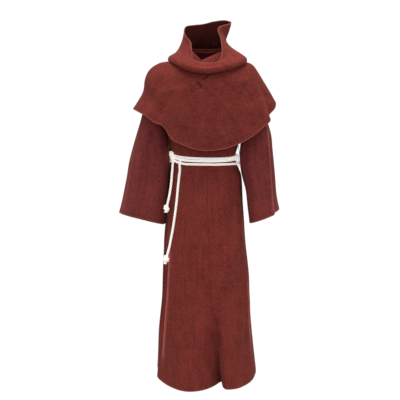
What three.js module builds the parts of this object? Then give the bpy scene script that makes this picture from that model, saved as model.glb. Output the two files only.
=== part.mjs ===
// A friar's habit: a full-length robe of heavy russet wool with wide sleeves, a hooded
// shoulder cape worn over it, and a white rope girdle wound three times round the waist.
// Millimetres, +Z up. The habit faces -Y and its wearer's left is +X. The origin lies between
// the two points where the neck meets the shoulders, which carry the whole garment.
import * as THREE from "three";

// A table: the names of its columns, then its rows.
function table(names, ...rows) {
  return rows.map((row) => Object.fromEntries(names.map((name, i) => [name, row[i]])));
}

// Driving dimensions. A drop is a height below the origin, and a turn is an angle round the
// body in degrees: 0 at the centre front, 90 at the wearer's left side, 180 at the back.
const clothThickness = 2;
const seamGap = 0.3;
const robeLength = 1540;
const chestDrop = 340;
const evenDrop = 900;
const shoulderHalfWidth = 200;
const shoulderDrop = 54;
const underarmDrop = 303;
const armholeHalfDepth = 80;
const neckHalfWidth = 66;
const neckRise = 14;
const ropeDiameter = 11;
const ropeClearance = 2;

// Rings of the robe from the chest to the hem. right and left are half widths on the wearer's
// two sides, front and back are depths from the widest line, which lies at y = centre.
const robeSections = table(
  ["drop", "right", "left", "front", "back", "centre"],
  [300, 184, 180, 116, 104, 0],
  [340, 181, 168, 119, 107, 0],
  [383, 177, 157, 122, 109, 0],
  [420, 172, 147, 123, 107, 0],
  [450, 159, 137, 121, 103, 0],
  [480, 154, 134, 120, 102, 0],
  [510, 160, 146, 125, 109, 0],
  [553, 168, 163, 132, 123, 0],
  [671, 178, 170, 144, 148, 0],
  [786, 190, 181, 153, 161, 1],
  [863, 198, 187, 160, 170, 2],
  [1157, 212, 208, 183, 196, 12],
  [1382, 235, 229, 208, 220, 28],
  [1540, 246, 242, 230, 235, 40],
);

// Folds of the robe. depth is how far the cloth goes in at its fullest (negative stands out),
// before and after are its half widths in degrees on each side, and lean is how far it has
// turned by the hem. It grows from the drop start to the drop full and has gone by end.
// aside is the share of its depth by which it also goes towards the wearer's left.
const robeFolds = table(
  ["at", "lean", "before", "after", "depth", "start", "full", "end", "power", "aside"],
  [8, 5, 13, 6, 120, 930, 1540, 9999, 2.4, 0.38],
  [-20, -2, 14, 12, -14, 900, 1540, 9999, 1.6, 0],
  [33, 2, 8, 12, -12, 1000, 1540, 9999, 1.6, 0],
  [-56, -10, 7, 11, -9, 600, 1000, 9999, 1, 0],
  [-71, -8, 8, 6, 15, 600, 1100, 9999, 1, 0],
  [90, 1, 6, 8, 20, 1050, 1420, 9999, 1.2, 0],
  [118, 0, 10, 9, 36, 760, 1540, 9999, 1.3, 0],
  [151, 4, 9, 11, 52, 640, 1540, 9999, 1.2, 0],
  [-168, -5, 10, 9, 44, 700, 1540, 9999, 1.4, 0],
  [-132, 4, 11, 9, 48, 620, 1540, 9999, 1.2, 0],
  [-103, 3, 8, 8, 26, 900, 1540, 9999, 1.2, 0],
  [-34, 0, 5, 6, 7, 484, 560, 980, 1, 0],
  [-8, 0, 5, 5, 5, 484, 560, 860, 1, 0],
  [16, 0, 5, 6, 7, 484, 570, 900, 1, 0],
  [44, 0, 6, 5, 6, 484, 560, 940, 1, 0],
);

// The hem hangs level in front, and rises to the sides, most of all behind the left side seam.
const hemDrops = table(
  ["turn", "drop"],
  [-180, 1512],
  [-150, 1512],
  [-120, 1508],
  [-98, 1502],
  [-80, 1508],
  [-64, 1526],
  [-46, 1540],
  [0, 1540],
  [50, 1540],
  [60, 1538],
  [70, 1530],
  [80, 1512],
  [86, 1490],
  [92, 1452],
  [98, 1428],
  [110, 1424],
  [124, 1436],
  [150, 1490],
  [180, 1512],
);

// The centre front seam leans towards the wearer's left below the waist.
const frontSeamTurns = [
  { drop: 340, turn: 0 },
  { drop: 480, turn: 1 },
  { drop: 900, turn: 4 },
  { drop: 1540, turn: 8.5 },
];

// Rings of the sleeves, each hung between an inner and an outer point and as deep as front and
// back say. skew carries the ring outwards towards the back, and tilt raises it at the front.
const rightSleeve = table(
  ["along", "innerX", "innerDrop", "outerX", "outerDrop", "front", "back", "skew", "tilt"],
  [0, 187, 303, 200, 54, 80, 80, 0, 0],
  [1, 190, 313, 234, 82, 81, 79, 0, 0],
  [2, 190, 323, 259, 134, 82, 77, 0, 0],
  [3, 189, 336, 276, 196, 82, 74, 0, 0],
  [4, 186, 354, 294, 268, 82, 70, 0.04, 0],
  [5, 183, 392, 321, 366, 82, 68, 0.06, 0],
  [6, 180, 456, 342, 440, 83, 68, 0.08, 0.02],
  [7, 178, 534, 361, 512, 84, 69, 0.08, 0.04],
  [8, 182, 618, 376, 590, 86, 70, 0.08, 0.07],
  [9, 190, 702, 391, 664, 88, 72, 0.06, 0.1],
  [10, 197, 786, 408, 732, 90, 74, 0.04, 0.13],
);
const leftSleeve = table(
  ["along", "innerX", "innerDrop", "outerX", "outerDrop", "front", "back", "skew", "tilt"],
  [0, 184, 303, 200, 54, 80, 80, 0, 0],
  [1, 182, 316, 219, 90, 81, 79, 0, 0],
  [2, 178, 332, 240, 138, 84, 78, 0, 0],
  [3, 173, 352, 256, 200, 86, 78, 0.02, 0],
  [4, 166, 380, 271, 270, 88, 78, 0.06, 0],
  [5, 159, 420, 299, 362, 90, 79, 0.1, 0],
  [6, 158, 480, 308, 442, 93, 80, 0.12, 0],
  [7, 167, 546, 314, 512, 97, 80, 0.14, 0],
  [8, 186, 620, 321, 585, 101, 80, 0.16, 0.01],
  [9, 196, 694, 327, 656, 105, 80, 0.19, 0],
  [10, 209, 768, 338, 722, 110, 80, 0.22, -0.02],
);
const sleeveSquareness = { right: 0.82, left: 0.7 };

// How far each sleeve's first ring stands off the armhole, where the two walls meet at an angle.
const sleeveStartGap = { shoulder: 1.8, under: 3 };

// Soft folds along the sleeves: around is the angle in the ring, 0 outside and 90 in front.
const sleeveFolds = {
  right: [
    { around: 96, spread: 17, depth: 9, start: 3, full: 6, end: 12 },
    { around: 250, spread: 20, depth: 10, start: 3, full: 7, end: 14 },
    { around: 20, spread: 12, depth: 6, start: 5, full: 8, end: 14 },
    { around: 213, spread: 17, depth: -44, start: 3, full: 6, end: 14 },
  ],
  left: [
    { around: 16, spread: 13, depth: 11, start: 3, full: 7, end: 14 },
    { around: 44, spread: 9, depth: -5, start: 3, full: 7, end: 14 },
    { around: 120, spread: 15, depth: 7, start: 3, full: 6, end: 12 },
    { around: 255, spread: 20, depth: 10, start: 3, full: 7, end: 14 },
  ],
};

// Rings of the cape from the neck seam to the hem: how far each reaches on the wearer's right,
// left, front and back, and its drop there. ease shapes the fall from the side to the front.
const capeSections = table(
  [
    "down", "right", "rightDrop", "left", "leftDrop", "front", "frontDrop", "back", "backDrop",
    "rightEase", "leftEase",
  ],
  [0, 84, -24, 84, -24, 114, 56, 78, -16, 1.2, 1.2],
  [0.05, 91, -14, 91, -14, 119, 66, 85, -6, 1.4, 1.4],
  [0.2, 150, 25.6, 152, 26.4, 143, 106, 118, 40, 2, 2],
  [0.4, 212, 41, 206, 45, 156, 178, 150, 126, 2, 1.8],
  [0.56, 254, 70, 237, 80, 162, 246, 168, 205, 2.1, 1.6],
  [0.72, 276, 112, 267, 126, 166, 310, 176, 278, 2.4, 1.45],
  [0.86, 288, 174, 294, 174, 169, 366, 181, 344, 2.7, 1.35],
  [1, 335, 246, 319, 219, 171, 421, 186, 408, 3, 1.3],
);
const capeFolds = table(
  ["turn", "spread", "out", "lift", "power"],
  [-36, 7, -7, 22, 4],
  [-27, 5, 3, -8, 4],
  [-84, 10, 3, 0, 3],
  [71, 5, -18, -6, 4],
  [62, 5, 6, -4, 4],
  [-52, 9, 0, 9, 4],
  [130, 13, -14, 6, 3],
  [152, 12, 12, -4, 2],
  [-132, 13, -14, 6, 3],
  [-155, 12, 12, -4, 2],
);

// The rim of the hood from the centre front (0) round each side to its crown point (1), which
// has flopped up behind the wearer's left ear. The right side therefore passes round the back.
// swell carries the cloth below the rim towards the wearer's left.
const rightRim = table(
  ["along", "x", "y", "drop", "swell"],
  [0, -14, -113, 35, 0],
  [0.09, -44, -114, 28, 0],
  [0.17, -61, -104, 10, 0],
  [0.27, -65, -86, -26, 0],
  [0.35, -72, -54, -58, 0],
  [0.43, -93, -28, -83, 0],
  [0.51, -101, 6, -106, 0],
  [0.59, -90, 38, -127, 0],
  [0.68, -54, 62, -134, 0],
  [0.77, -12, 72, -139, 2],
  [0.86, 34, 70, -150, 10],
  [0.94, 84, 54, -155, 18],
  [1, 114, 36, -148, 22],
);
const leftRim = table(
  ["along", "x", "y", "drop", "swell"],
  [0, -14, -113, 35, 0],
  [0.12, 20, -116, 35, 0],
  [0.23, 50, -111, 29, 0],
  [0.33, 66, -100, 4, 0],
  [0.43, 69, -84, -34, 0],
  [0.53, 63, -62, -74, 4],
  [0.63, 52, -48, -105, 12],
  [0.72, 57, -24, -122, 20],
  [0.82, 78, 0, -131, 24],
  [0.92, 104, 22, -138, 24],
  [1, 114, 36, -148, 22],
);

// Rings of the hood below its rim, from the neck seam over the rolled fold. climb says how far
// along the way from the neck seam (0) to the rim (1) each ring lies.
const hoodSections = table(
  ["climb", "right", "rightDrop", "left", "leftDrop", "front", "frontDrop", "back", "backDrop"],
  [0, 84, -24, 84, -24, 114, 56, 78, -16],
  [0.06, 90, -30, 90, -30, 121, 50, 84, -24],
  [0.14, 112, -12, 114, -12, 133, 60, 98, -10],
  [0.28, 158, 22, 170, 27, 150, 82, 122, 26],
  [0.36, 172, 27, 184, 31, 159, 76, 132, 29],
  [0.44, 169, 11, 182, 15, 160, 60, 132, 14],
  [0.56, 141, -7, 154, -5, 148, 45, 120, -8],
);
const hoodRimStart = 0.56;
const neckSeamEase = 1.2;

// Heights of the rope over its three turns, from the right hip round the front.
const girdleWinding = table(
  ["turns", "drop"],
  [0, 448],
  [0.1, 457],
  [0.22, 460.3],
  [0.35, 461.3],
  [0.45, 458.5],
  [0.72, 457],
  [1, 461],
  [1.1, 470.3],
  [1.22, 472.4],
  [1.35, 473.4],
  [1.45, 472.5],
  [1.72, 474],
  [2, 474],
  [2.1, 488],
  [2.22, 488],
  [2.35, 492],
  [2.45, 498.5],
  [2.72, 491],
  [2.97, 491],
);
const girdleStart = -80;

// The rope's free ends, down the front of the skirt. off is the clear space behind the rope.
const shortEnd = table(
  ["drop", "turn", "off"],
  [479, -61.6, 12.5],
  [496, -61.3, 12.8],
  [522, -60.7, 10],
  [565, -60.1, 8.4],
  [625, -59.6, 13],
  [682, -59.8, 20],
);
const longEnd = table(
  ["drop", "turn", "off"],
  [462, -45, 12.2],
  [476, -44.6, 12.3],
  [494, -44.4, 13.2],
  [518, -44.6, 4],
  [604, -46, 2],
  [740, -48.7, 2],
  [860, -53, 2],
  [913, -55.5, 8],
);
const knotDiameter = 29;
const shortKnotHeight = 36;
const longKnotHeight = 42;
const loopDiameter = 3;
const loopRows = [
  { drop: 409, off: 0 },
  { drop: 424, off: 4 },
  { drop: 436, off: 12 },
  { drop: 448, off: 15 },
  { drop: 494, off: 15 },
  { drop: 504, off: 11 },
  { drop: 516, off: 0 },
];

const colours = { cloth: 0x722f2a, rope: 0xe9e2d6, loop: 0x9a4b46 };

const degree = Math.PI / 180;
const half = clothThickness / 2;
const mix = (a, b, t) => a + (b - a) * t;
const clamp = (t) => Math.min(1, Math.max(0, t));
const ease = (t) => clamp(t) ** 2 * (3 - 2 * clamp(t));
const wrap = (angle) => angle - 360 * Math.round(angle / 360);
const bell = (offset, before, after) => Math.exp(-((offset / (offset < 0 ? before : after)) ** 2));
const vector = (x, y, z) => new THREE.Vector3(x, y, z);

// A smooth curve through one column of a table, read by another column that rises.
function through(rows, key, name) {
  const keys = rows.map((row) => row[key]);
  const values = rows.map((row) => row[name]);
  const last = rows.length - 1;
  const slopes = values.map((value, i) => {
    const before = Math.max(0, i - 1);
    const after = Math.min(last, i + 1);
    return (values[after] - values[before]) / (keys[after] - keys[before]);
  });
  return (at) => {
    let i = 0;
    while (i < last - 1 && at > keys[i + 1]) i += 1;
    const span = keys[i + 1] - keys[i];
    const t = clamp((at - keys[i]) / span);
    const away = (1 + 2 * t) * (1 - t) ** 2 * values[i] + t * (1 - t) ** 2 * span * slopes[i];
    return away + t * t * (3 - 2 * t) * values[i + 1] + t * t * (t - 1) * span * slopes[i + 1];
  };
}

// All the columns of a table as such curves.
function curves(rows, key) {
  const names = Object.keys(rows[0]).filter((name) => name !== key);
  return Object.fromEntries(names.map((name) => [name, through(rows, key, name)]));
}

const spaced = (from, to, count) => Array.from({ length: count }, (_, i) => mix(from, to, i / (count - 1)));

// The unit normal of a surface given as a function of two parameters.
function normalOf(surface, u, v, stepU, stepV) {
  const along = surface(u + stepU, v).sub(surface(u - stepU, v));
  const down = surface(u, v + stepV).sub(surface(u, v - stepV));
  return down.cross(along).normalize();
}

// A cloth wall on a surface: a grid of points moved out by half the thickness on each face and
// closed along its edges. A round wall joins its last column to its first.
function clothWall(surface, us, vs, { round = false, stepU = 1e-3, stepV = 1e-3 } = {}) {
  const rows = vs.length;
  const columns = us.length;
  const positions = [];
  for (const face of [half, -half]) {
    for (const v of vs) {
      for (const u of us) {
        const point = surface(u, v).addScaledVector(normalOf(surface, u, v, stepU, stepV), face);
        positions.push(point.x, point.y, point.z);
      }
    }
  }
  const outer = (i, j) => i * columns + (j % columns);
  const inner = (i, j) => rows * columns + outer(i, j);
  const triangles = [];
  const quad = (a, b, c, d) => triangles.push(a, b, c, a, c, d);
  const spans = round ? columns : columns - 1;
  for (let i = 0; i < rows - 1; i += 1) {
    for (let j = 0; j < spans; j += 1) {
      quad(outer(i, j), outer(i, j + 1), outer(i + 1, j + 1), outer(i + 1, j));
      quad(inner(i, j), inner(i + 1, j), inner(i + 1, j + 1), inner(i, j + 1));
    }
  }
  for (let j = 0; j < spans; j += 1) {
    quad(outer(0, j), inner(0, j), inner(0, j + 1), outer(0, j + 1));
    quad(outer(rows - 1, j), outer(rows - 1, j + 1), inner(rows - 1, j + 1), inner(rows - 1, j));
  }
  if (!round) {
    const last = columns - 1;
    for (let i = 0; i < rows - 1; i += 1) {
      quad(outer(i, 0), outer(i + 1, 0), inner(i + 1, 0), inner(i, 0));
      quad(outer(i, last), inner(i, last), inner(i + 1, last), outer(i + 1, last));
    }
  }
  return facingOut(positions, triangles);
}

// A closed body of triangles with its faces turned outwards.
function facingOut(positions, triangles) {
  const corner = (i) => vector(...positions.slice(3 * triangles[i], 3 * triangles[i] + 3));
  let volume = 0;
  for (let i = 0; i < triangles.length; i += 3) {
    volume += corner(i).dot(corner(i + 1).cross(corner(i + 2)));
  }
  const order = volume > 0 ? triangles : triangles.slice().reverse();
  const geometry = new THREE.BufferGeometry();
  geometry.setAttribute("position", new THREE.Float32BufferAttribute(positions, 3));
  geometry.setIndex(order);
  geometry.computeVertexNormals();
  return geometry;
}

// The robe below the chest: a ring of the table at each drop, with the folds pressed in.
const robe = curves(robeSections, "drop");
const hemDrop = through(hemDrops, "turn", "drop");
function robeRing(turn, nominalDrop) {
  const sine = Math.sin(turn * degree);
  const cosine = Math.cos(turn * degree);
  const low = Math.max(0, nominalDrop - evenDrop);
  const drop = nominalDrop - low + (low * (hemDrop(wrap(turn)) - evenDrop)) / (robeLength - evenDrop);
  const wide = sine < 0 ? robe.right(nominalDrop) : robe.left(nominalDrop);
  const deep = cosine > 0 ? robe.front(nominalDrop) : robe.back(nominalDrop);
  const point = vector(wide * sine, robe.centre(nominalDrop) - deep * cosine, -drop);
  const inwards = vector(-sine / wide, cosine / deep, 0).normalize();
  for (const fold of robeFolds) {
    const grown = clamp((nominalDrop - fold.start) / (fold.full - fold.start)) ** fold.power;
    const left = 1 - ease((nominalDrop - fold.full) / (fold.end - fold.full));
    const turned = fold.at + fold.lean * clamp((nominalDrop - fold.start) / (robeLength - fold.start));
    const amount = fold.depth * grown * left * bell(wrap(turn - turned), fold.before, fold.after);
    point.addScaledVector(inwards, amount);
    point.x += fold.aside * amount;
  }
  return point;
}

// The upper edge of the robe's front or back on one side, from the centre (0) along the
// neckline and the shoulder seam and down the armhole to the underarm (1).
const neckShare = 0.3;
const shoulderShare = 0.66;
const neckPoint = { front: vector(-22, -86, -24), back: vector(0, 60, 8) };
function upperEdge(face, side, share) {
  const forward = face === "front" ? -1 : 1;
  const neckCorner = vector(side * neckHalfWidth, 0, neckRise);
  if (share <= neckShare) {
    const t = share / neckShare;
    const bow = face === "front" ? t : Math.sin((t * Math.PI) / 2);
    const dip = face === "front" ? t : 1 - Math.cos((t * Math.PI) / 2);
    return vector(
      mix(neckPoint[face].x, neckCorner.x, bow),
      mix(neckPoint[face].y, 0, dip),
      mix(neckPoint[face].z, neckRise, t),
    );
  }
  if (share <= shoulderShare) {
    const t = (share - neckShare) / (shoulderShare - neckShare);
    return vector(side * mix(neckHalfWidth, shoulderHalfWidth, t), 0, mix(neckRise, -shoulderDrop, t));
  }
  const t = ((share - shoulderShare) / (1 - shoulderShare)) * Math.PI;
  const rows = side < 0 ? rightSleeve : leftSleeve;
  const fallen = (1 - Math.cos(t)) / 2;
  return vector(
    side * mix(shoulderHalfWidth, rows[0].innerX, fallen),
    forward * armholeHalfDepth * Math.sin(t),
    -mix(shoulderDrop, underarmDrop, fallen),
  );
}

// The front or back of the robe: across runs from the right side seam (-1) to the left (1), and
// above the chest each column bends over to the upper edge.
const frontSeamTurn = through(frontSeamTurns, "drop", "turn");
function robePanel(face) {
  return (across, down) => {
    const reach = Math.abs(across);
    const ring = (drop) => {
      const turn = face === "front" ? 90 * across + frontSeamTurn(drop) * (1 - reach) : 180 - 90 * across;
      return robeRing(turn, drop);
    };
    if (down >= chestDrop) return ring(down);
    const top = upperEdge(face, across < 0 ? -1 : 1, reach);
    const chest = ring(chestDrop);
    const nearNeck = 1 - ease((reach - 0.2) / 0.15);
    const atArm = ease((reach - shoulderShare) / (1 - shoulderShare));
    const bend = vector(
      mix(chest.x, top.x, 0.6),
      mix(chest.y, top.y, 0.6 * atArm),
      top.z - (0.12 * nearNeck + 0.45 * atArm) * (top.z - chest.z),
    );
    const t = 1 - down / chestDrop;
    return chest
      .multiplyScalar((1 - t) ** 2)
      .addScaledVector(bend, 2 * t * (1 - t))
      .addScaledVector(top, t * t);
  };
}

// A sleeve as rings between the inner and outer points, squared off a little.
function sleeve(side) {
  const name = side < 0 ? "right" : "left";
  const rows = curves(side < 0 ? rightSleeve : leftSleeve, "along");
  return (around, along) => {
    const cosine = Math.cos(around * degree);
    const sine = Math.sin(around * degree);
    const square = mix(1, sleeveSquareness[name], ease(along / 5));
    const out = Math.sign(cosine) * Math.abs(cosine) ** square;
    const forth = Math.sign(sine) * Math.abs(sine) ** square;
    const depth = sine > 0 ? rows.front(along) : rows.back(along);
    const share = (out + 1) / 2;
    let inwards = 0;
    for (const fold of sleeveFolds[name]) {
      const grown = ease((along - fold.start) / (fold.full - fold.start));
      const left = 1 - ease((along - fold.full) / (fold.end - fold.full));
      inwards += fold.depth * grown * left * bell(wrap(around - fold.around), fold.spread, fold.spread);
    }
    const y = -depth * forth;
    const x = mix(rows.innerX(along), rows.outerX(along), share) + rows.skew(along) * y - inwards * cosine;
    const startGap = mix(sleeveStartGap.under, sleeveStartGap.shoulder, share) * clamp(1 - along);
    return vector(
      side * (x + startGap),
      y + inwards * sine,
      -mix(rows.innerDrop(along), rows.outerDrop(along), share) - rows.tilt(along) * y,
    );
  };
}

// A ring that reaches different distances to the right, left, front and back, with its own drop
// at each of them.
function reachRing(rows, at, turn, rightEase, leftEase) {
  const sine = Math.sin(turn * degree);
  const cosine = Math.cos(turn * degree);
  const wide = sine < 0 ? rows.right(at) : rows.left(at);
  const sideDrop = sine < 0 ? rows.rightDrop(at) : rows.leftDrop(at);
  const deep = cosine > 0 ? rows.front(at) : rows.back(at);
  const endDrop = cosine > 0 ? rows.frontDrop(at) : rows.backDrop(at);
  const fall = Math.abs(cosine) ** (sine < 0 ? rightEase : leftEase);
  return vector(wide * sine, -deep * cosine, -mix(sideDrop, endDrop, fall));
}

const cape = curves(capeSections, "down");
function capeSurface(turn, down) {
  const point = reachRing(cape, down, turn, cape.rightEase(down), cape.leftEase(down));
  const outwards = vector(Math.sin(turn * degree), -Math.cos(turn * degree), 0);
  for (const fold of capeFolds) {
    const amount = down ** fold.power * bell(wrap(turn - fold.turn), fold.spread, fold.spread);
    point.addScaledVector(outwards, fold.out * amount);
    point.z += fold.lift * amount;
  }
  point.z -= seamGap * clamp(1 - down * 20);
  return point;
}

// The hood: rings over the rolled fold, then on to the rim. side runs from the crown (-1) past
// the wearer's right to the centre front (0) and on past the left back to the crown (1).
const hood = curves(hoodSections, "climb");
const rims = { right: curves(rightRim, "along"), left: curves(leftRim, "along") };
function hoodSurface(side, climb) {
  const around = side - 2 * Math.round(side / 2);
  const turn = 180 * around;
  const ease = mix(neckSeamEase, 2, clamp(climb / 0.2));
  const ring = reachRing(hood, Math.min(climb, hoodRimStart), turn, ease, ease);
  if (climb <= hoodRimStart) {
    ring.z += (clothThickness + seamGap) * clamp(1 - climb * 20);
    return ring;
  }
  const rim = around < 0 ? rims.right : rims.left;
  const along = Math.abs(around);
  const edge = vector(rim.x(along), rim.y(along), -rim.drop(along));
  const step = 1e-3;
  const leaving = ring.clone().sub(reachRing(hood, hoodRimStart - step, turn, 2, 2));
  leaving.multiplyScalar((1 - hoodRimStart) / step / 3);
  const t = (climb - hoodRimStart) / (1 - hoodRimStart);
  const first = ring.clone().addScaledVector(leaving, 0.45);
  first.x += rim.swell(along) / 2;
  const second = vector(mix(edge.x, ring.x, 0.12), mix(edge.y, ring.y, 0.12), mix(edge.z, ring.z, 0.45));
  second.x += rim.swell(along);
  return ring
    .multiplyScalar((1 - t) ** 3)
    .addScaledVector(first, 3 * t * (1 - t) ** 2)
    .addScaledVector(second, 3 * t * t * (1 - t))
    .addScaledVector(edge, t ** 3);
}

// A round rope along a list of points.
function ropeAlong(points, diameter, steps, sides = 8) {
  const section = new THREE.Shape();
  section.absarc(0, 0, diameter / 2, 0, 2 * Math.PI);
  return new THREE.ExtrudeGeometry(section, {
    extrudePath: new THREE.CatmullRomCurve3(points),
    steps,
    curveSegments: sides / 2,
    bevelEnabled: false,
  });
}

// A point off the robe's outer face at a turn and a drop.
function offRobe(turn, drop, distance) {
  return robeRing(turn, drop).addScaledVector(normalOf(robeRing, turn, drop, 0.5, 3), half + distance);
}

const ropeRadius = ropeDiameter / 2;
const onRobe = ropeRadius + ropeClearance;

// A free end of the rope, from the girdle to its knot.
function freeEnd(rows, steps) {
  const turn = through(rows, "drop", "turn");
  const off = through(rows, "drop", "off");
  const last = rows[rows.length - 1].drop;
  const at = (drop) => offRobe(turn(drop), drop, off(drop) + ropeRadius);
  const points = spaced(rows[0].drop, last, 16).map(at);
  const end = points[15];
  return { geometry: ropeAlong(points, ropeDiameter, steps), end, heading: end.clone().sub(points[14]) };
}

// A knot below a rope's end: three turns of the rope drawn tight, then a short tuft.
function knot(end, heading, height) {
  const geometry = new THREE.SphereGeometry(1, 20, 14);
  const position = geometry.getAttribute("position");
  const point = new THREE.Vector3();
  for (let i = 0; i < position.count; i += 1) {
    point.fromBufferAttribute(position, i);
    const around = Math.atan2(point.z, point.x);
    const level = Math.asin(clamp((point.y + 1) / 2) * 2 - 1);
    const lobes = 1 - 0.07 * (1 - Math.cos(3 * around + 2.6 * level)) * Math.cos(level);
    const tuft = point.y < -0.45 ? 1 + 0.35 * ease((-point.y - 0.45) / 0.4) : 1;
    const width = (knotDiameter / 2) * lobes * tuft;
    position.setXYZ(i, point.x * width, (point.y * height) / 2, point.z * width);
  }
  const down = heading.clone().normalize();
  geometry.applyQuaternion(new THREE.Quaternion().setFromUnitVectors(vector(0, -1, 0), down));
  const centre = end.clone().addScaledVector(down, height / 2 + seamGap);
  geometry.translate(centre.x, centre.y, centre.z);
  return geometry;
}

// A belt loop on a side seam: a thread from the robe above the girdle to the robe below it.
function beltLoop(turn, rows) {
  const off = through(rows, "drop", "off");
  const first = rows[0].drop;
  const last = rows[rows.length - 1].drop;
  const points = spaced(first, last, 12).map((drop) => offRobe(turn, drop, off(drop) + loopDiameter / 2));
  return ropeAlong(points, loopDiameter, 16, 6);
}

// The rope's turns round the waist.
function girdleTurns() {
  const drop = through(girdleWinding, "turns", "drop");
  const last = girdleWinding[girdleWinding.length - 1].turns;
  const at = (turns) => offRobe(girdleStart + 360 * turns, drop(turns), onRobe);
  const points = spaced(0, last, 100).map(at);
  return ropeAlong(points, ropeDiameter, 108);
}

const finishes = {
  cloth: { color: colours.cloth, roughness: 0.95, metalness: 0 },
  rope: { color: colours.rope, roughness: 0.85, metalness: 0 },
  loop: { color: colours.loop, roughness: 0.8, metalness: 0 },
};

const habit = new THREE.Group();
function add(name, geometry, finish) {
  const mesh = new THREE.Mesh(geometry, new THREE.MeshStandardMaterial(finishes[finish]));
  mesh.name = name;
  habit.add(mesh);
  return mesh;
}

// Rows of the robe's walls: close together over the shoulder, at the waist and by the hem.
const upperRows = [0, 45, 110, 190, 268];
const waistRows = [340, 390, 428, 456, 480, 504, 556];
const skirtRows = [640, 740, 850, 960, 1060, 1150, 1235, 1310, 1380, 1440, 1495, 1540];
const panelRows = [...upperRows, ...waistRows, ...skirtRows];
const seamShare = 0.0006;
const shoulderColumns = [0.39, 0.48, 0.57];
const armholeColumns = spaced(shoulderShare, 1, 9);
const sideColumns = [...shoulderColumns, ...armholeColumns];
const mirrored = (columns) => columns.map((across) => -across).reverse();
const frontRightColumns = mirrored([seamShare, 0.05, 0.1, 0.16, 0.23, neckShare, ...sideColumns]);
const frontLeftColumns = [seamShare, 0.02, 0.045, 0.07, 0.1, 0.135, 0.175, 0.23, neckShare, ...sideColumns];
const backColumns = [seamShare, 0.1, 0.2, neckShare, 0.42, 0.54, ...armholeColumns];
const panelSteps = { stepU: 0.004, stepV: 0.05 };

// The panels stand apart by a seam's gap across the centre and, at their sides and shoulders,
// from front to back.
const apartAcross = seamGap / 2;
const apartDeep = seamGap * 0.7;
function addPanel(name, face, columns, side) {
  const mesh = add(name, clothWall(robePanel(face), columns, panelRows, panelSteps), "cloth");
  mesh.position.set(side * apartAcross, face === "front" ? -apartDeep : apartDeep, 0);
}
addPanel("robe_front_right", "front", frontRightColumns, -1);
addPanel("robe_front_left", "front", frontLeftColumns, 1);
addPanel("robe_back_right", "back", mirrored(backColumns), -1);
addPanel("robe_back_left", "back", backColumns, 1);

const sleeveRows = [0, 0.5, 1, 1.6, 2.2, 2.9, 3.6, 4.3, 5, 5.7, 6.4, 7.1, 7.8, 8.5, 9.25, 10];
const sleeveAngles = spaced(0, 360, 25).slice(0, -1);
const sleeveSteps = { round: true, stepU: 0.01, stepV: 1e-4 };
add("sleeve_right", clothWall(sleeve(-1), sleeveAngles, sleeveRows, sleeveSteps), "cloth");
add("sleeve_left", clothWall(sleeve(1), sleeveAngles, sleeveRows, sleeveSteps), "cloth");

const capeRows = [0, 0.05, 0.12, 0.2, 0.3, 0.4, 0.5, 0.6, 0.7, 0.8, 0.9, 1];
const capeRightTurns = [0, 10, 20, 27, 33, 39, 47, 57, 66, 75, 83, 91, 100, 109, 119, 133, 148, 164, 180];
const capeLeftTurns = [0, 12, 25, 38, 48, 56, 62, 67, 71, 75, 80, 86, 94, 105, 118, 133, 148, 164, 180];
const capeSteps = { stepU: 0.01, stepV: 1e-4 };
add("cape_right", clothWall(capeSurface, capeRightTurns.map((turn) => -turn), capeRows, capeSteps), "cloth")
  .position.set(-seamGap / 2, 0, 0);
add("cape_left", clothWall(capeSurface, capeLeftTurns, capeRows, capeSteps), "cloth")
  .position.set(seamGap / 2, 0, 0);

const hoodRows = [0, 0.06, 0.14, 0.21, 0.28, 0.32, 0.36, 0.4, 0.44, 0.5, 0.56, 0.65, 0.75, 0.87, 1];
const hoodColumns = spaced(0.0006, 0.9994, 19);
const hoodSteps = { stepU: 0.01, stepV: 1e-4 };
add("hood_right", clothWall(hoodSurface, hoodColumns.map((side) => -side), hoodRows, hoodSteps), "cloth");
add("hood_left", clothWall(hoodSurface, hoodColumns, hoodRows, hoodSteps), "cloth");

add("girdle_turns", girdleTurns(), "rope");
const short = freeEnd(shortEnd, 16);
const long = freeEnd(longEnd, 30);
add("girdle_end_short", short.geometry, "rope");
add("girdle_end_long", long.geometry, "rope");
add("knot_short", knot(short.end, short.heading, shortKnotHeight), "rope");
add("knot_long", knot(long.end, long.heading, longKnotHeight), "rope");
add("loop_right", beltLoop(-79, loopRows), "loop");
add("loop_left", beltLoop(80, loopRows), "loop");

export default habit;
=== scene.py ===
import bpy
import numpy as np
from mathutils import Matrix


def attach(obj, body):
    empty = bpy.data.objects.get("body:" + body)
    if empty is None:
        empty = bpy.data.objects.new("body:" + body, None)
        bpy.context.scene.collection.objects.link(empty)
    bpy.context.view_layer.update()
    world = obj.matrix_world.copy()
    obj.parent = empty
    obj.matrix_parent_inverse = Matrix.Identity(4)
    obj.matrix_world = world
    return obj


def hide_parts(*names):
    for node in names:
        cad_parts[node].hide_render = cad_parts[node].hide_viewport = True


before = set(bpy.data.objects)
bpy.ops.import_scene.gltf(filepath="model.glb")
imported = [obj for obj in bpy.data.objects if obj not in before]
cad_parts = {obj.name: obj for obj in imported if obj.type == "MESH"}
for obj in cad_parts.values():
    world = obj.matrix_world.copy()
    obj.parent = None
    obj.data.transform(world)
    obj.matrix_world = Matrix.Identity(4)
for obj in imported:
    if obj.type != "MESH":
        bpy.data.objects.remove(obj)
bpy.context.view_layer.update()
mm = 0.001
sides = {"right": -1, "left": 1}
degree = np.pi / 180
gap = 0.3  # between pieces that meet

# the camera, where the photograph was taken from
view = {
    "place": (-0.0286, -3.8, -0.010), "pitch": 9.87, "focalPixels": 823.5, "widePixels": 400, "sensor": 36,
}


def placed(name, data):
    made = bpy.data.objects.new(name, data)
    scene.collection.objects.link(made)
    return made


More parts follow.
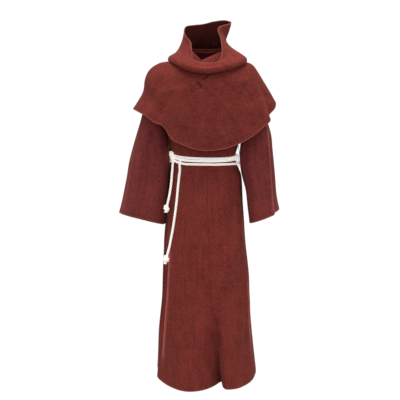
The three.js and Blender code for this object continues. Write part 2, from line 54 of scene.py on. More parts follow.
scene = bpy.context.scene
cameraData = bpy.data.cameras.new("camera")
cameraData.sensor_width = view["sensor"]
cameraData.lens = view["focalPixels"] / view["widePixels"] * cameraData.sensor_width
camera = placed("camera", cameraData)
camera.location = view["place"]
camera.rotation_euler = ((90 - view["pitch"]) * degree, 0, 0)
scene.camera = camera


def table(columns, rows):
    return {"columns": columns.split(), "rows": np.array(rows, float)}


def mix(a, b, t):
    return a + (b - a) * t


def clamp(t):
    return np.clip(t, 0, 1)


def ease(t):
    # rises from 0 to 1 with level ends: t squared times (3 - 2t)
    return clamp(t) ** 2 * (3 - 2 * clamp(t))


def wrap(angle):
    return angle - 360 * np.round(angle / 360)


def bell(offset, before, after):
    # a smooth hump: e to the minus (offset over its half width) squared
    return np.exp(-((offset / np.where(offset < 0, before, after)) ** 2))


def circle(turn):
    return np.sin(turn * degree), np.cos(turn * degree)


def unit(vectors):
    return vectors / np.maximum(np.linalg.norm(vectors, axis=-1, keepdims=True), 1e-12)


def stack(x, y, z):
    return np.stack(np.broadcast_arrays(x, y, z), axis=-1).astype(float)


def through(rows, column):
    # a smooth curve through one column, read by the first: a cubic between rows, with the
    # slope at each row of the line that joins its neighbours
    keys = rows["rows"][:, 0]
    values = rows["rows"][:, rows["columns"].index(column)]
    before = np.maximum(np.arange(len(keys)) - 1, 0)
    after = np.minimum(np.arange(len(keys)) + 1, len(keys) - 1)
    slopes = (values[after] - values[before]) / (keys[after] - keys[before])

    def read(at):
        i = np.clip(np.searchsorted(keys, at, side="left") - 1, 0, len(keys) - 2)
        span = keys[i + 1] - keys[i]
        t = clamp((at - keys[i]) / span)
        start = (1 + 2 * t) * (1 - t) ** 2 * values[i] + t * (1 - t) ** 2 * span * slopes[i]
        return start + t * t * (3 - 2 * t) * values[i + 1] + t * t * (t - 1) * span * slopes[i + 1]

    return read


def closerAtEnd(first, change, last, count, few):
    # evenly spaced values, and others close together over the last stretch
    return np.concatenate([np.linspace(first, change, count)[:-1], np.linspace(change, last, few)])


def curves(rows):
    return {name: through(rows, name) for name in rows["columns"][1:]}


def normals(surface, u, v, stepU, stepV):
    # the unit normal: the way down the surface crossed with the way along it
    along = surface(u + stepU, v) - surface(u - stepU, v)
    down = surface(u, v + stepV) - surface(u, v - stepV)
    return unit(np.cross(down, along))


def makePiece(name, points, faces, cornerUvs, finish, attributes, squared=None):
    # faces is a list of index arrays, one for each number of corners, and cornerUvs matches it;
    # they are turned round together if the closed mesh has a negative volume
    corners = [points[f] for f in faces]
    volume = sum(np.einsum("ij,ij->", c[:, 0], np.cross(c[:, k], c[:, k + 1]))
                 for c in corners for k in range(1, c.shape[1] - 1))
    if volume < 0:
        faces = [f[:, ::-1] for f in faces]
        cornerUvs = [uv[:, ::-1] for uv in cornerUvs]
    mesh = bpy.data.meshes.new(name)
    mesh.vertices.add(len(points))
    mesh.vertices.foreach_set("co", (points * mm).astype(np.float32).ravel())
    loops = np.concatenate([f.ravel() for f in faces]).astype(np.int32)
    sizes = np.concatenate([np.full(len(f), f.shape[1]) for f in faces])
    mesh.loops.add(len(loops))
    mesh.loops.foreach_set("vertex_index", loops)
    mesh.polygons.add(len(sizes))
    starts = np.concatenate([[0], np.cumsum(sizes)[:-1]]).astype(np.int32)
    mesh.polygons.foreach_set("loop_start", starts)
    mesh.polygons.foreach_set("use_smooth", np.ones(len(sizes), bool))
    mesh.update(calc_edges=True)
    if squared is not None:
        # an edge is sharp where both its ends lie on a squared-off border
        ends = np.empty(2 * len(mesh.edges), np.int32)
        mesh.edges.foreach_get("vertices", ends)
        sharp = squared[ends.reshape(-1, 2)].all(axis=1)
        mesh.attributes.new("sharp_edge", "BOOLEAN", "EDGE").data.foreach_set("value", sharp)
    uvs = np.concatenate([uv.reshape(-1, 2) for uv in cornerUvs]).astype(np.float32)
    mesh.uv_layers.new(name="grain").data.foreach_set("uv", uvs.ravel())
    for key, values in attributes.items():
        mesh.attributes.new(key, "FLOAT", "POINT").data.foreach_set("value", values.astype(np.float32))
    mesh.materials.append(finish.material)
    piece = placed(name, mesh)
    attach(piece, "root")
    return piece


def arithmetic(operation, turned=False):
    # a method that adds a Math node, with the other value first where the order is turned
    def method(self, other=0.0):
        first, second = (other, self) if turned else (self, other)
        return self.nodes.node("Math", {"operation": operation}, {0: first, 1: second})

    return method


class Signal:
    # a node's output, on which arithmetic adds Math nodes
    def __init__(self, nodes, socket):
        self.nodes = nodes
        self.socket = socket

    __add__ = __radd__ = arithmetic("ADD")
    __sub__ = arithmetic("SUBTRACT")
    __rsub__ = arithmetic("SUBTRACT", turned=True)
    __mul__ = __rmul__ = arithmetic("MULTIPLY")
    __truediv__ = arithmetic("DIVIDE")
    __pow__ = arithmetic("POWER")
    sine = arithmetic("SINE")
    size = arithmetic("ABSOLUTE")
    below = arithmetic("LESS_THAN")

    def rising(self, low, high):
        # 0 at and below the low value, 1 at and above the high one
        names = ("Value", "From Min", "From Max")
        return self.nodes.node("MapRange", inputs=dict(zip(names, (self, low, high))))


class Nodes:
    # a node tree and the short ways of adding to it
    def __init__(self, tree):
        self.tree = tree

    def node(self, kind, settings=None, inputs=None, output=0):
        made = self.tree.nodes.new("ShaderNode" + kind)
        for key, value in (settings or {}).items():
            setattr(made, key, value)
        for key, value in (inputs or {}).items():
            self.feed(made.inputs[key], value)
        return Signal(self, made.outputs[output])

    def feed(self, socket, value):
        if isinstance(value, Signal):
            self.tree.links.new(value.socket, socket)
        else:
            socket.default_value = value

    def part(self, vector, axis):
        return self.node("SeparateXYZ", inputs={0: vector}, output="XYZ".index(axis))


class Finish(Nodes):
    # a material with one Principled shader
    def __init__(self, name, constants):
        self.material = bpy.data.materials.new(name)
        self.material.use_nodes = True
        super().__init__(self.material.node_tree)
        self.shader = self.tree.nodes["Principled BSDF"]
        for socket, value in constants.items():
            self.shader.inputs[socket].default_value = value

    def paint(self, **inputs):
        for key, value in inputs.items():
            self.feed(self.shader.inputs[key.replace("_", " ")], value)

    def attribute(self, name):
        return self.node("Attribute", {"attribute_name": name}, output=2)

    def noise(self, place, scale, detail=2.0, roughness=0.5):
        settings = {"Scale": scale, "Detail": detail, "Roughness": roughness, "Vector": place}
        return self.node("TexNoise", inputs=settings)

    def drawnOut(self, place, scale, detail, roughness=0.5):
        # noise drawn out along the cloth's threads
        scaled = self.node("Mapping", inputs={"Vector": place, "Scale": scale})
        return self.noise(scaled, 1.0, detail, roughness)

    def blend(self, first, second, factor):
        inputs = {0: factor, 6: first, 7: second}
        return self.node("Mix", {"data_type": "RGBA"}, inputs, output=2)

    def bump(self, height, strength, distance, under=None):
        inputs = {"Height": height, "Strength": strength, "Distance": distance}
        if under is not None:
            inputs["Normal"] = under
        return self.node("Bump", inputs=inputs)


def linear(colour):
    # a colour as read from a screen, 0 to 255, as light
    shares = np.array(colour) / 255
    light = np.where(shares <= 0.04045, shares / 12.92, ((shares + 0.055) / 1.055) ** 2.4)
    return (*light.tolist(), 1.0)


woolLook = {
    "dark": (76, 25, 23), "light": (148, 60, 54), "brown": (120, 58, 42), "worn": (190, 110, 100),
    "stitch": (58, 20, 18), "paintedInnerShade": (0.004, 0.001, 0.001, 1), "sheenTint": (255, 180, 160),
    "threadPitch": 0.0018, "hemStitch": 0.019, "stitchLength": 0.0042, "stitchHalfWidth": 0.0009,
    "slub": (90, 900, 1), "streak": (70, 5, 1), "heather": (190, 85, 1),
    "mottle": 17.0, "dye": 31.0, "nap": 620.0,
}


def woolFinish(name, look):
    finish = Finish(name, {
        "Sheen Weight": 0.16,
        "Sheen Roughness": 0.4,
        "Sheen Tint": linear(look["sheenTint"]),
        "Specular IOR Level": 0.1,
    })
    grain = finish.node("UVMap", {"uv_map": "grain"})
    place = finish.node("TexCoord", output=3)
    across, down = finish.part(grain, "X"), finish.part(grain, "Y")
    # plain weave: threads over and under each other in both directions
    turn = 2 * np.pi / look["threadPitch"]
    weave = (across * turn).sine() * (down * turn).sine() * 0.5 + 0.5
    slub = finish.drawnOut(grain, look["slub"], 2.0)
    streak = finish.drawnOut(grain, look["streak"], 3.0, 0.6)
    heather = finish.drawnOut(grain, look["heather"], 3.0, 0.65)
    mottle = finish.noise(place, look["mottle"], 4.0, 0.62)
    dye = finish.noise(place, look["dye"], 2.0)
    nap = finish.noise(place, look["nap"], 3.0, 0.7)
    tone = heather * 1.5 + mottle * 0.6 + streak * 0.6 + slub * 0.3 + weave * 0.14 - 1.09
    cloth = finish.blend(linear(look["dark"]), linear(look["light"]), tone)
    cloth = finish.blend(cloth, linear(look["brown"]), dye.rising(0.42, 0.75) * 0.4)
    # the turned hem: one row of stitches, and a lighter edge, partly wear and partly painted highlight
    fromHem = finish.attribute("fromHem")
    dash = (across * (2 * np.pi / look["stitchLength"])).sine()
    onRow = (fromHem - look["hemStitch"]).size().below(look["stitchHalfWidth"])
    stitch = onRow * (1 - dash.below(-0.25))
    worn = (1 - fromHem.rising(0.002, 0.0055)) * (heather * 0.7 + 0.05)
    cloth = finish.blend(cloth, linear(look["worn"]), worn)
    # the raised crease ridges get the same lighter colour: a painted highlight, partly wear
    pressed = finish.attribute("pressed")
    cloth = finish.blend(cloth, linear(look["worn"]), pressed * (heather * 0.9 + 0.2))
    cloth = finish.blend(cloth, linear(look["stitch"]), stitch * 0.8)
    # painted shade: the face turned to the body is darkened towards near black by the piece's own share,
    # most of all inside the hood
    cloth = finish.blend(cloth, look["paintedInnerShade"], finish.attribute("inside"))
    soft = finish.bump(mottle * 0.5 + streak * 0.5, 0.5, 0.004)
    fuzzy = finish.bump(nap * 0.5 + slub * 0.4 + heather * 0.9 - stitch * 1.6, 0.5, 0.0009, soft)
    woven = finish.bump(weave, 0.35, 0.0003, fuzzy)
    finish.paint(Base_Color=cloth, Roughness=0.97 - mottle * 0.12, Normal=woven)
    return finish


ropeLook = {"light": (255, 254, 250), "deep": (142, 114, 97), "yarnPitch": 0.0034, "paintedGlow": 0.5}


def ropeFinish(name, look):
    # painted light: the cord glows with its own colour by the look's share, half for the rope and none for
    # the thread
    finish = Finish(name, {
        "Sheen Weight": 0.25,
        "Sheen Roughness": 0.5,
        "Specular IOR Level": 0.2,
        "Emission Strength": look["paintedGlow"],
    })
    grain = finish.node("UVMap", {"uv_map": "grain"})
    place = finish.node("TexCoord", output=3)
    along, overStrand = finish.part(grain, "X"), finish.part(grain, "Y")
    groove = finish.attribute("groove")
    # fine yarns that lie across each strand's own turn
    yarn = ((along / look["yarnPitch"] - overStrand * 3) * (2 * np.pi)).sine() * 0.5 + 0.5
    fuzz = finish.noise(place, 900.0, 3.0, 0.7)
    soil = finish.noise(place, 38.0, 3.0, 0.6)
    # painted shade: the grooves between strands are darkened towards the deep colour, with random soil and
    # the yarns' lines on top
    shade = groove ** 1.5 * 1.2 + soil * 0.12 + (1 - yarn) * 0.12 - 0.14
    colour = finish.blend(linear(look["light"]), linear(look["deep"]), shade)
    rough = finish.bump(fuzz, 0.4, 0.0005)
    twisted = finish.bump(yarn, 0.5, 0.0006, rough)
    finish.paint(Base_Color=colour, Emission_Color=colour, Roughness=0.84 + soil * 0.12, Normal=twisted)
    return finish


wool = woolFinish("habit_wool", woolLook)
capeWool = woolFinish("cape_wool", {
    **woolLook, "dark": (71, 23, 21), "light": (140, 57, 51), "brown": (113, 55, 40),
})
sleeveWool = woolFinish("sleeve_wool", {
    **woolLook, "dark": (74, 26, 27), "light": (143, 61, 60), "brown": (113, 57, 52),
})
rope = ropeFinish("girdle_rope", ropeLook)
threadLook = {"light": (190, 116, 106), "deep": (120, 56, 50), "yarnPitch": 0.0015, "paintedGlow": 0}
thread = ropeFinish("loop_thread", threadLook)
print("camera and finishes made")

# the robe's form, as the solids have it: half widths on the wearer's two sides, and depths
# from the widest line, at y = centre
robeRings = table("drop right left front back centre", [
    (300, 184, 180, 116, 104, 0), (340, 181, 168, 119, 107, 0), (383, 177, 157, 122, 109, 0),
    (420, 172, 147, 123, 107, 0), (450, 159, 137, 121, 103, 0), (480, 154, 134, 120, 102, 0),
    (510, 160, 146, 125, 109, 0), (553, 168, 163, 132, 123, 0), (671, 178, 170, 144, 148, 0),
    (786, 190, 181, 153, 161, 1), (863, 198, 187, 160, 170, 2), (1157, 212, 208, 183, 196, 12),
    (1382, 235, 229, 208, 220, 28), (1540, 246, 242, 230, 235, 40),
])

# how deep each fold goes in (or out), where it lies, the drops over which it grows and goes,
# and the share of its depth by which it also slides to the wearer's left
robeFolds = table("at lean before after depth start full end power slide", [
    (8, 5, 13, 6, 120, 930, 1540, 9999, 2.4, 0.38), (-20, -2, 14, 12, -14, 900, 1540, 9999, 1.6, 0),
    (33, 2, 8, 12, -12, 1000, 1540, 9999, 1.6, 0), (-56, -10, 7, 11, -9, 600, 1000, 9999, 1, 0),
    (-71, -8, 8, 6, 15, 600, 1100, 9999, 1, 0), (90, 1, 6, 8, 20, 1050, 1420, 9999, 1.2, 0),
    (118, 0, 10, 9, 36, 760, 1540, 9999, 1.3, 0), (151, 4, 9, 11, 52, 640, 1540, 9999, 1.2, 0),
    (-168, -5, 10, 9, 44, 700, 1540, 9999, 1.4, 0), (-132, 4, 11, 9, 48, 620, 1540, 9999, 1.2, 0),
    (-103, 3, 8, 8, 26, 900, 1540, 9999, 1.2, 0), (-34, 0, 5, 6, 7, 484, 560, 980, 1, 0),
    (-8, 0, 5, 5, 5, 484, 560, 860, 1, 0), (16, 0, 5, 6, 7, 484, 570, 900, 1, 0),
    (44, 0, 6, 5, 6, 484, 560, 940, 1, 0),
])

hemDrops = table("turn drop", [
    (-180, 1512), (-150, 1512), (-120, 1508), (-98, 1502), (-80, 1508), (-64, 1526), (-46, 1540),
    (0, 1540), (50, 1540), (60, 1538), (70, 1530), (80, 1512), (86, 1490), (92, 1452),
    (98, 1428), (110, 1424), (124, 1436), (150, 1490), (180, 1512),
])
frontSeamTurns = table("drop turn", [(340, 0), (480, 1), (900, 4), (1540, 8.5)])

robe = {
    "length": 1540, "chestDrop": 340, "evenDrop": 900, "thickness": 2,
    "shoulderHalfWidth": 200, "shoulderDrop": 54, "underarmDrop": 303, "armholeHalfDepth": 80,
    "neckHalfWidth": 66, "neckRise": 14, "neckShare": 0.3, "shoulderShare": 0.66,
    "neckPoint": {"front": (-22, -86, -24), "back": (0, 60, 8)},
    "underarmHalfWidths": (187, 184),
    "bendOut": 0.6, "neckStoop": 0.12, "armStoop": 0.45,
}
robeReach = curves(robeRings)
hemDrop = through(hemDrops, "drop")
frontSeamTurn = through(frontSeamTurns, "turn")


def robeRing(turn, down):
    # a ring of the table at each drop, with the folds pressed in along its own normal
    sine, cosine = circle(turn)
    low = np.maximum(0, down - robe["evenDrop"])
    fall = (hemDrop(wrap(turn)) - robe["evenDrop"]) / (robe["length"] - robe["evenDrop"])
    drop = down - low + low * fall
    wide = np.where(sine < 0, robeReach["right"](down), robeReach["left"](down))
    deep = np.where(cosine > 0, robeReach["front"](down), robeReach["back"](down))
    inwards = unit(stack(-sine / wide, cosine / deep, 0))
    amount, aside = 0, 0
    for at, lean, before, after, depth, start, full, end, power, slide in robeFolds["rows"]:
        grown = clamp((down - start) / (full - start)) ** power
        left = 1 - ease((down - full) / (end - full))
        turned = at + lean * clamp((down - start) / (robe["length"] - start))
        pressedIn = depth * grown * left * bell(wrap(turn - turned), before, after)
        amount = amount + pressedIn
        aside = aside + slide * pressedIn
    point = stack(wide * sine, robeReach["centre"](down) - deep * cosine, -drop)
    return point + inwards * amount[..., None] + stack(aside, 0, 0)


def upperEdge(face, side, share):
    # from the centre along the neckline, the shoulder seam and the armhole to the underarm
    forward = -1 if face == "front" else 1
    nx, ny, nz = robe["neckPoint"][face]
    neckEnd, neckWide, neckHigh = robe["neckShare"], robe["neckHalfWidth"], robe["neckRise"]
    armStart, armWide, armLow = robe["shoulderShare"], robe["shoulderHalfWidth"], robe["shoulderDrop"]
    t = clamp(share / neckEnd)
    bow = t if face == "front" else np.sin(t * np.pi / 2)
    dip = t if face == "front" else 1 - np.cos(t * np.pi / 2)
    neck = stack(mix(nx, side * neckWide, bow), mix(ny, 0, dip), mix(nz, neckHigh, t))
    t = clamp((share - neckEnd) / (armStart - neckEnd))
    shoulder = stack(side * mix(neckWide, armWide, t), 0, mix(neckHigh, -armLow, t))
    t = clamp((share - armStart) / (1 - armStart)) * np.pi
    fallen = (1 - np.cos(t)) / 2
    inner = np.where(side < 0, *robe["underarmHalfWidths"])
    arm = stack(side * mix(armWide, inner, fallen), forward * robe["armholeHalfDepth"] * np.sin(t),
                -mix(armLow, robe["underarmDrop"], fallen))
    onNeck, onShoulder = (share <= neckEnd)[..., None], (share <= armStart)[..., None]
    return np.where(onNeck, neck, np.where(onShoulder, shoulder, arm))


def robePanel(face):
    # across runs from the right side seam to the left; above the chest each column bends over
    # to the upper edge as a quadratic curve
    def surface(across, down):
        across, down = np.broadcast_arrays(across, down)
        reach = np.abs(across)

        def ring(drop):
            if face == "front":
                return robeRing(90 * across + frontSeamTurn(drop) * (1 - reach), drop)
            return robeRing(180 - 90 * across, drop)

        chestDrop = robe["chestDrop"]
        below = ring(np.maximum(down, chestDrop))
        chest = ring(np.full(down.shape, chestDrop))
        top = upperEdge(face, np.where(across < 0, -1, 1), reach)
        atArm = ease((reach - robe["shoulderShare"]) / (1 - robe["shoulderShare"]))
        stoop = robe["neckStoop"] * (1 - ease((reach - 0.2) / 0.15)) + robe["armStoop"] * atArm
        out = robe["bendOut"]
        bend = stack(mix(chest[..., 0], top[..., 0], out), mix(chest[..., 1], top[..., 1], out * atArm),
                     top[..., 2] - stoop * (top - chest)[..., 2])
        t = (1 - down / chestDrop)[..., None]
        bent = chest * (1 - t) ** 2 + bend * 2 * t * (1 - t) + top * t * t
        return np.where((down >= chestDrop)[..., None], below, bent)

    return surface


# the rope girdle: its turns, its free ends and their knots
girdle = {"diameter": 11, "clearance": 2, "start": -80, "turns": 2.97, "lay": 42, "strands": 3, "sides": 30}
knots = {
    "diameter": 29, "heights": {"short": 36, "long": 42}, "pitch": 9.4, "tuft": 0.17,
    "cord": {"diameter": 10.6, "lay": 34, "strands": 5, "sides": 30},
    "core": {"diameter": 9, "lay": 34, "strands": 5, "sides": 30},
    "yarns": {"diameter": 10, "lay": 90, "strands": 8, "sides": 48},
}
girdleWinding = table("turns drop", [
    (0, 448), (0.1, 457), (0.22, 460.3), (0.35, 461.3), (0.45, 458.5), (0.72, 457), (1, 461),
    (1.1, 470.3), (1.22, 472.4), (1.35, 473.4), (1.45, 472.5), (1.72, 474), (2, 474), (2.1, 488),
    (2.22, 488), (2.35, 492), (2.45, 498.5), (2.72, 491), (2.97, 491),
])
freeEnds = {
    "short": table("drop turn off", [
        (479, -61.6, 12.5), (496, -61.3, 12.8), (522, -60.7, 10), (565, -60.1, 8.4), (625, -59.6, 13),
        (682, -59.8, 20),
    ]),
    "long": table("drop turn off", [
        (462, -45, 12.2), (476, -44.6, 12.3), (494, -44.4, 13.2), (518, -44.6, 4), (604, -46, 2),
        (740, -48.7, 2), (860, -53, 2), (913, -55.5, 8),
    ]),
}
# where the short end comes up from behind the turns and crosses over them
tie = table("step drop turn off", [
    (0, 452, -66.4, 0.6), (1, 439, -66.6, 1), (2, 434, -66.4, 8), (3, 446, -65.6, 14.6),
    (4, 463, -63.6, 15), (5, 478.7, -61.6, 12.5),
])
loopRows = table("drop off", [
    (409, 0), (424, 4), (436, 12), (448, 15), (494, 15), (504, 11), (516, 0),
])
loops = {"diameter": 3, "lay": 7, "strands": 2, "sides": 12, "turns": {"right": -79, "left": 80}}


def offRobe(turn, drop, distance):
    away = normals(robeRing, turn, drop, 0.5, 3.0)
    return robeRing(turn, drop) + away * (robe["thickness"] / 2 + distance[..., None])


def alongRows(points):
    # the length of each row of points so far
    steps = np.linalg.norm(np.diff(points, axis=1), axis=-1)
    return np.concatenate([np.zeros((len(points), 1)), np.cumsum(steps, axis=1)], axis=1)


def evenly(line, spacing):
    # the same line with its points spaced evenly, and its length up to each
    length = alongRows(line[None])[0]
    at = np.linspace(0, length[-1], max(8, int(length[-1] / spacing)))
    return np.stack([np.interp(at, length, line[:, k]) for k in range(3)], axis=1), at


def twistedTube(line, at, reference, look, swell=1.0):
    # round strands laid round each other: the tube reaches the outline of the nearest strand's
    # circle at each angle, and turns once in each lay
    strands, sides = look["strands"], look["sides"]
    radius = look["diameter"] / 4
    angles = np.arange(sides) * 2 * np.pi / sides
    lobe = (angles * strands / (2 * np.pi) + 0.5) % 1 - 0.5
    off = lobe * 2 * np.pi / strands
    inside = np.maximum(radius ** 2 - (radius * np.sin(off)) ** 2, 0)
    reach = radius * np.cos(off) + np.sqrt(inside)
    groove = 1 - (reach - reach.min()) / max(reach.max() - reach.min(), 1e-9)
    tangent = unit(np.gradient(line, axis=0))
    side = unit(np.cross(tangent, reference))
    other = np.cross(side, tangent)
    turned = angles[None] + (2 * np.pi * at / look["lay"])[:, None]
    size = reach[None] * np.broadcast_to(swell, at.shape)[:, None]
    ring = np.cos(turned)[..., None] * side[:, None] + np.sin(turned)[..., None] * other[:, None]
    points = line[:, None] + ring * size[..., None]
    return tubeParts(points, line[[0, -1]], at, np.broadcast_to(groove, size.shape), lobe)


def tubeParts(rings, middles, at, groove, lobe):
    # rings joined to each other and closed with a fan at both ends
    rows, sides = rings.shape[:2]
    i, j = np.meshgrid(np.arange(rows - 1), np.arange(sides), indexing="ij")
    here, there = i * sides + j, i * sides + (j + 1) % sides
    quads = np.stack([here, there, there + sides, here + sides], -1)
    middle = np.full(sides, rows * sides)
    first = np.stack([middle, there[0], here[0]], -1)
    last = np.stack([middle + 1, here[-1] + sides, there[-1] + sides], -1)
    u = np.stack([at[i], at[i], at[i + 1], at[i + 1]], -1) * mm
    v = np.stack([lobe[j], lobe[j] + 0.1, lobe[j] + 0.1, lobe[j]], -1)
    caps = np.zeros((2 * sides, 3, 2))
    return {
        "points": np.concatenate([rings.reshape(-1, 3), middles]),
        "faces": [quads.reshape(-1, 4), np.concatenate([first, last])],
        "uvs": [np.stack([u, v], -1).reshape(-1, 4, 2), caps],
        "groove": np.concatenate([groove.reshape(-1), [0.5, 0.5]]),
    }


def joined(parts):
    starts = np.cumsum([0] + [len(p["points"]) for p in parts[:-1]])
    return {
        "points": np.concatenate([p["points"] for p in parts]),
        "faces": [np.concatenate([p["faces"][k] + s for p, s in zip(parts, starts)]) for k in (0, 1)],
        "uvs": [np.concatenate([p["uvs"][k] for p in parts]) for k in (0, 1)],
        "groove": np.concatenate([p["groove"] for p in parts]),
    }


def tubePiece(node, part, finish=rope, kind="rope"):
    piece = makePiece(f"{node}_{kind}", part["points"], part["faces"], part["uvs"], finish,
                      {"groove": part["groove"]})
    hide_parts(node)
    return piece


def laidOnRobe(rows, steps, spacing):
    # an even line off the robe's face, through a table of turns, drops and distances
    read = curves(rows)
    place = np.linspace(rows["rows"][0, 0], rows["rows"][-1, 0], steps)
    drops = read["drop"](place) if "drop" in read else place
    return evenly(offRobe(read["turn"](place), drops, read["off"](place) + girdle["diameter"] / 2), spacing)


def knot(end, heading, height):
    # the rope wound round itself and drawn tight: a helix about the rope's own core, which
    # tucks in at both ends, and below it a tuft of loose yarns
    cord = knots["cord"]
    tuftLength = knots["tuft"] * height
    wound = height - tuftLength - cord["diameter"]
    turns = wound / knots["pitch"]
    t = np.linspace(0, 1, int(70 * turns))
    angle = 2 * np.pi * turns * t + 0.6
    tuck = ease(t / 0.12) * ease((1 - t) / 0.12)
    out = mix(2.5, knots["diameter"] / 2 - cord["diameter"] / 2 - 0.2, tuck)
    below = cord["diameter"] / 2 + wound * t + 1.5 * np.cos(angle) * tuck
    coil, at = evenly(stack(out * np.cos(angle), out * np.sin(angle), -below), 1.6)
    parts = [twistedTube(coil, at, (0.05, 0.02, 1), cord)]
    core, at = evenly(stack(0 * t, 0 * t, -mix(0, height - tuftLength * 0.6, t)), 2)
    parts.append(twistedTube(core, at, (0, 1, 0), knots["core"]))
    t = np.linspace(0, 1, 14)
    tuft, at = evenly(stack(0 * t, 0 * t, -mix(height - tuftLength - 1, height, t)), 0.9)
    share = at / at[-1]
    flare = (1.2 + 0.6 * ease(share * 1.3)) * (1 - 0.75 * ease((share - 0.72) / 0.28))
    parts.append(twistedTube(tuft, at, (0, 1, 0), knots["yarns"], flare))
    part = joined(parts)
    down = unit(heading)
    side = unit(np.cross(down, (0, 1, 0)))
    front = np.cross(side, down)
    local = part["points"]
    part["points"] = (end + down * gap + local[:, :1] * side + local[:, 1:2] * front
                      - local[:, 2:] * down)
    return part


turns = np.linspace(0, girdle["turns"], 900)
away = np.full(len(turns), girdle["diameter"] / 2 + girdle["clearance"])
wound, at = evenly(offRobe(girdle["start"] + 360 * turns, through(girdleWinding, "drop")(turns), away), 2.6)
tied, tiedAt = laidOnRobe(tie, 90, 2)
girdleParts = [twistedTube(wound, at, (0, 0, 1), girdle), twistedTube(tied, tiedAt, (1, 0, 0), girdle)]
tubePiece("girdle_turns", joined(girdleParts))

for name, rows in freeEnds.items():
    line, at = laidOnRobe(rows, 120, 2.4)
    hanging = tubePiece(f"girdle_end_{name}", twistedTube(line, at, (1, 0, 0), girdle))
    tied = tubePiece(f"knot_{name}", knot(line[-1], line[-1] - line[-2], knots["heights"][name]))

for name, turn in loops["turns"].items():
    drops = np.linspace(409, 516, 60)
    off = through(loopRows, "off")(drops) + loops["diameter"] / 2
    line, at = evenly(offRobe(np.full(len(drops), turn), drops, off), 1.2)
    tubePiece(f"loop_{name}", twistedTube(line, at, (1, 0, 0), loops), thread, "thread")
print("girdle made")


def tighter(values):
    # more lines close inside each end, so that seams and rounded edges stay narrow
    shares = np.array([0.12, 0.35, 0.65])
    first, last = mix(values[0], values[1], shares), mix(values[-1], values[-2], shares[::-1])
    return np.concatenate([values[:1], first, values[1:-1], last, values[-1:]])


def creases(points, away, lines):
    # soft troughs and ridges drawn as lines on the front or the back: full at the middle of the
    # line and fading to its ends, and a bell across it, widths in millimetres
    amount = np.zeros(points.shape[:-1])
    for face, rows in lines.items():
        facing = clamp(away[..., 1] * (-2.5 if face == "front" else 2.5))
        for fromX, fromDrop, toX, toDrop, bow, width, depth in rows:
            length = np.hypot(toX - fromX, toDrop - fromDrop)
            alongX, alongDrop = (toX - fromX) / length, (toDrop - fromDrop) / length
            x, drop = points[..., 0] - fromX, -points[..., 2] - fromDrop
            t = clamp((x * alongX + drop * alongDrop) / length)
            aside = x * alongDrop - drop * alongX - bow * 4 * t * (1 - t)
            faded = ease(t / 0.3) * ease((1 - t) / 0.3)
            amount = amount - depth * faded * facing * np.exp(-((aside / width) ** 2))
    return amount


def unevenness(points, size, seed):
    # wandering swells of hanging cloth: sines of the place, longer downwards than across
    rng = np.random.default_rng(seed)
    longest = 190
    amount = 0
    for k in range(7):
        wave = rng.uniform(70, longest)
        heading = rng.uniform(0, 2 * np.pi)
        way = np.array([np.cos(heading), np.sin(heading), rng.uniform(-0.45, 0.45)])
        swell = np.sin(points @ way * 2 * np.pi / wave + rng.uniform(0, 2 * np.pi))
        amount = amount + swell * wave / longest
    return amount * size / 2.4


def creased(surface, u, v, look, allRound, steps, shift):
    # the middle of the cloth: the surface, moved off its outer face by its creases and swells
    points = surface(u, v)
    # away points off the outer face: from the ring's middle, or from the body's upright axis
    away = normals(surface, u, v, *steps)
    middle = points.mean(axis=1, keepdims=True) if allRound else points * (0, 0, 1)
    away = away * np.sign(np.sum(away * (points - middle)))
    # ridge lines raised by up to 3 mm, whose amount is also the mask of a painted highlight
    pressed = clamp(creases(points, away, look.get("pressed", {})))
    relief = creases(points, away, look["creases"]) + 3 * pressed
    relief = relief + unevenness(points, look["uneven"], look["seed"])
    # the cloth is held smooth at its upper edge and free lower down
    held, free = look["free"]
    relief = relief * ease((v - held) / (free - held))
    points = points + away * relief[..., None] + np.array(shift, float)
    if not allRound:
        # the cloth dips where panels are sewn together
        across = alongRows(points)
        fromSeam = np.minimum(across, across[:, -1:] - across)
        points = points - away * (look["seamDip"] * np.exp(-((fromSeam / 4.5) ** 2)))[..., None]
    return points, away, pressed


def hemmed(points, look):
    # how far each point is from the hem, and half the thickness there: the hem is turned up and
    # so thicker, with a groove along its stitches
    fromHem = alongRows(points[::-1].swapaxes(0, 1)).T[::-1]
    turned = 1 - ease((fromHem - look["hem"]) / 3)
    groove = np.exp(-(((fromHem - look["hem"] + 2) / 2.2) ** 2))
    return fromHem, (look["thickness"] / 2 + look["hemExtra"] / 2 * turned - 0.35 * groove)[..., None]


def clothGrain(points, fromHem, allRound):
    # metres along each row from its middle, and from the hem
    closed = np.concatenate([points, points[:, :1]], axis=1) if allRound else points
    along = alongRows(closed)
    along = (along - along.mean(axis=1, keepdims=True)) * mm
    up = np.concatenate([fromHem, fromHem[:, :1]], axis=1) * mm if allRound else fromHem * mm
    return np.stack([along, up], -1)


def clothBorders(points, index, allRound):
    # each closed border as point numbers, and the way out of the cloth at each
    if allRound:
        return [(index[0], points[0] - points[1]), (index[-1, ::-1], (points[-1] - points[-2])[::-1])]
    up, low = unit(points[0] - points[1]), unit(points[-1] - points[-2])
    left, right = unit(points[:, 0] - points[:, 1]), unit(points[:, -1] - points[:, -2])
    up[0] += left[0]
    up[-1] += right[0]
    low[0] += left[-1]
    low[-1] += right[-1]
    border = np.concatenate([index[0], index[1:-1, -1], index[-1, ::-1], index[-2:0:-1, 0]])
    return [(border, np.concatenate([up, right[1:-1], low[::-1], left[-2:0:-1]]))]


